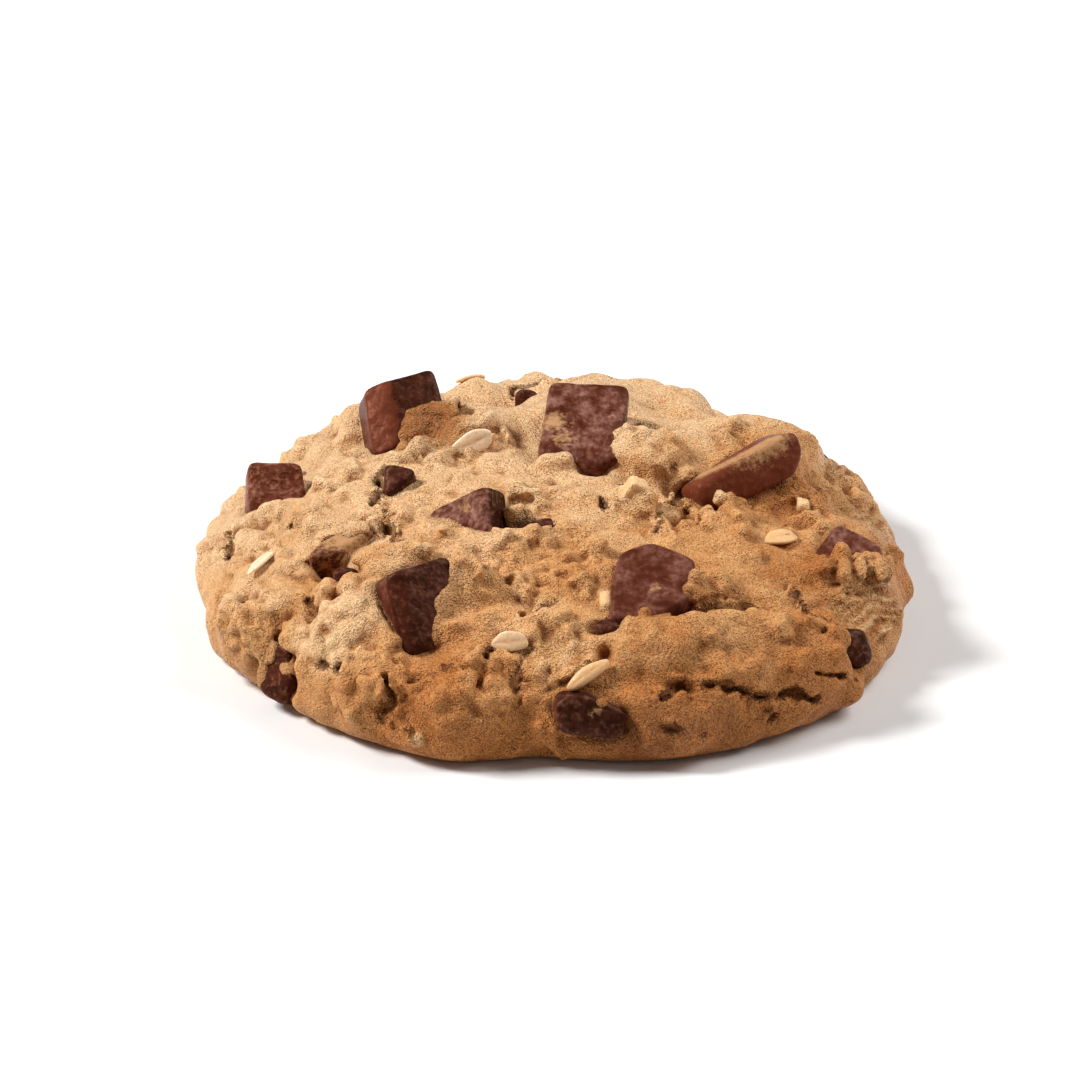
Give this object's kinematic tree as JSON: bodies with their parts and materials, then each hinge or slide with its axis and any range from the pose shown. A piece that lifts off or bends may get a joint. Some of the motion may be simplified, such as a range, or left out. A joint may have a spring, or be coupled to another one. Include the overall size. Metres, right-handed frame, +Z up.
{
  "type": "chocolate chunk cookie",
  "caption": "Thick round baked cookie with a cracked, lumpy dome of oat dough, chocolate chunks set in it and a flat base that it rests on.",
  "frame": {"origin": "centre of the cookie's outline on the surface it rests on", "axes": "+Z up out of the flat base; +X to the right and +Y to the back as seen in the picture"},
  "size_m": [0.1002, 0.0993, 0.0241],
  "materials": {
    "baked_dough": "dry matt crumb, golden brown, darker at the rim",
    "chocolate": "satin dark chocolate with a faint bloom"
  },
  "bodies": {
    "root": {"chunk_back_left": "chocolate", "chunk_left": "chocolate", "chunk_back": "chocolate", "chunk_back_right": "chocolate", "chunk_sliver": "chocolate", "chunk_centre": "chocolate", "chunk_left_middle": "chocolate", "chunk_front_left": "chocolate", "chunk_right_middle": "chocolate", "chunk_right": "chocolate", "chunk_front": "chocolate", "chunk_right_rim": "chocolate", "chunk_left_rim": "chocolate", "chunk_rear_left": "chocolate", "chunk_rear": "chocolate", "chunk_rear_right": "chocolate", "chunk_bit_left": "chocolate", "chunk_bit_middle": "chocolate", "chunk_bit_front": "chocolate", "chunk_bit_back": "chocolate", "dough": "baked_dough"}
  },
  "joints": []
}
